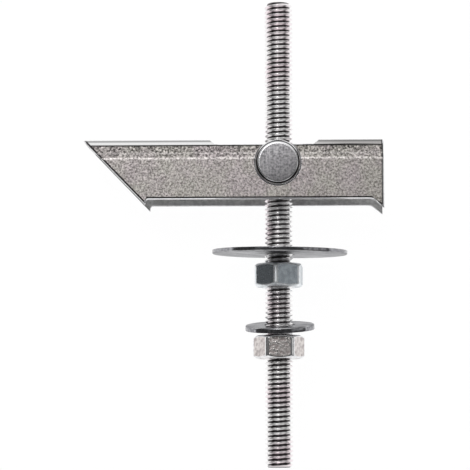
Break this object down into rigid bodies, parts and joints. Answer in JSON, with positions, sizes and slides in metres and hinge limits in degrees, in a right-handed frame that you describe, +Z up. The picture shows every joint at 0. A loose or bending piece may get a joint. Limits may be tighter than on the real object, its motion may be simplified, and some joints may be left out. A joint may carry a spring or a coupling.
{
  "type": "toggle bolt",
  "caption": "Gravity toggle bolt: a threaded rod with a tilting folded channel on a cross-bored round nut, and washers and hex nuts that clamp a wall board and a fixture.",
  "frame": {"origin": "on the table, under the middle of the lying bolt's box", "axes": "+Z up from the table, +Y along the rod's run towards its end above the arm, +X towards the arm's short end"},
  "size_m": [0.065, 0.0986, 0.0287],
  "materials": {
    "rod_zinc": "bright zinc plate over a rolled thread",
    "channel_zinc": "dull zinc plate over pressed sheet",
    "turned_zinc": "satin zinc plate over turned steel",
    "washer_zinc": "zinc plate over punched strip",
    "nut_zinc": "zinc plate over cold-formed steel"
  },
  "bodies": {
    "threaded_rod": {"threaded_rod": "rod_zinc"},
    "barrel_nut": {"barrel_nut": "turned_zinc"},
    "toggle_channel": {"toggle_channel": "channel_zinc"},
    "large_washer": {"large_washer": "washer_zinc"},
    "upper_nut": {"upper_nut": "nut_zinc"},
    "small_washer": {"small_washer": "washer_zinc"},
    "lower_nut": {"lower_nut": "nut_zinc"}
  },
  "joints": [
    {"name": "barrel_travel", "type": "slide", "parent": "threaded_rod", "child": "barrel_nut", "axis": [0, 0.9769, -0.2135], "range_m": [0, 0.03]},
    {"name": "arm_tilt", "type": "hinge", "parent": "barrel_nut", "child": "toggle_channel", "pos_m": [0.00955, 0.01417, 0.01038], "axis": [0.0777, -0.2129, -0.974], "range_deg": [-32.5, 30.5]},
    {"name": "large_washer_slide", "type": "slide", "parent": "threaded_rod", "child": "large_washer", "axis": [0, -0.9769, 0.2135], "range_m": [0, 0.0065]},
    {"name": "upper_nut_turn", "type": "hinge", "parent": "large_washer", "child": "upper_nut", "pos_m": [0.00955, -0.00884, 0.01541], "axis": [0, -0.9769, 0.2135], "range_deg": [0, 2341]},
    {"name": "small_washer_slide", "type": "slide", "parent": "threaded_rod", "child": "small_washer", "axis": [0, -0.9769, 0.2135], "range_m": [0, 0.022]},
    {"name": "lower_nut_turn", "type": "hinge", "parent": "small_washer", "child": "lower_nut", "pos_m": [0.00955, -0.02384, 0.01869], "axis": [0, -0.9769, 0.2135], "range_deg": [0, 7921]}
  ],
  "couplings": [
    {"joint": "upper_nut_turn", "follows": "large_washer_slide", "rad_per_m": 6283.2},
    {"joint": "lower_nut_turn", "follows": "small_washer_slide", "rad_per_m": 6283.2}
  ]
}
